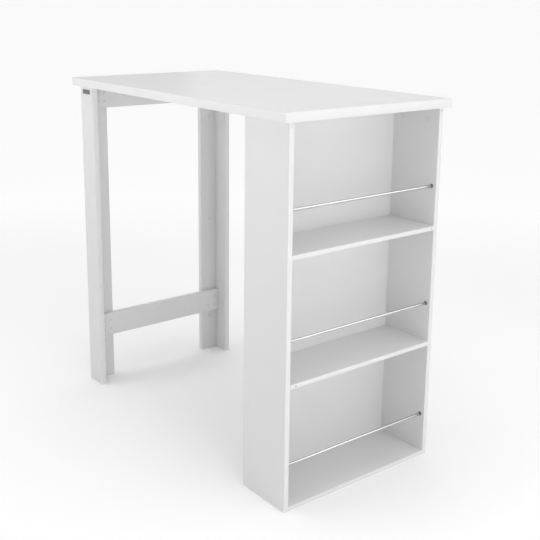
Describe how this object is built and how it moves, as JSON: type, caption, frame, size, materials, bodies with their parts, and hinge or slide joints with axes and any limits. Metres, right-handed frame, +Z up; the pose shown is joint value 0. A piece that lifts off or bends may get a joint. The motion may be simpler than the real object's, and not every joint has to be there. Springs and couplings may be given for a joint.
{
  "type": "kitchen table with storage cabinet",
  "caption": "Bar-height kitchen table: thick white top on an open shelf cabinet with metal guard rails at one end and an L-leg frame with a stretcher at the other.",
  "frame": {"origin": "on the floor, under the middle of the tabletop", "axes": "+X along the top towards the cabinet end, +Y across the top, +Z up"},
  "size_m": [1.12, 0.585, 1.06],
  "materials": {
    "white_laminate": "white melamine laminate on particle board, smooth and glossy",
    "white_edge_band": "white plastic edge band, rounded arrises",
    "white_back_board": "white lacquered fibreboard",
    "chromed_steel": "bright chromed round bar",
    "zinc_plated_steel": "zinc plated",
    "die_cast_zinc": "die-cast zinc, dull",
    "pale_grey_cap": "pale grey moulded plastic",
    "dark_socket": "dark grey moulded plastic",
    "beech": "raw beech",
    "dark_plate": "dark grey, satin, blank",
    "grey_pin": "mid grey plastic"
  },
  "bodies": {
    "root": {"tabletop": "white_laminate", "tabletop_edge_band": "white_edge_band", "side_panel_front": "white_laminate", "side_panel_rear": "white_laminate", "base_board": "white_laminate", "shelf_lower": "white_laminate", "shelf_upper": "white_laminate", "cabinet_edge_bands": "white_edge_band", "back_panel": "white_back_board", "guard_rail_lower": "chromed_steel", "guard_rail_middle": "chromed_steel", "guard_rail_upper": "chromed_steel", "guard_rail_sockets": "dark_socket", "leg_front_face": "white_laminate", "leg_front_return": "white_laminate", "leg_rear_face": "white_laminate", "leg_rear_return": "white_laminate", "leg_edge_bands": "white_edge_band", "apron": "white_laminate", "stretcher": "white_laminate", "rail_edge_bands": "white_edge_band", "cam_locks": "die_cast_zinc", "cam_bolts": "zinc_plated_steel", "cam_caps": "pale_grey_cap", "shelf_cam_locks": "die_cast_zinc", "shelf_cam_bolts": "zinc_plated_steel", "shelf_cam_caps": "pale_grey_cap", "dowels": "beech", "shelf_dowels": "beech", "rail_screws": "zinc_plated_steel", "blank_plate": "dark_plate", "edge_pins": "grey_pin"}
  },
  "joints": []
}
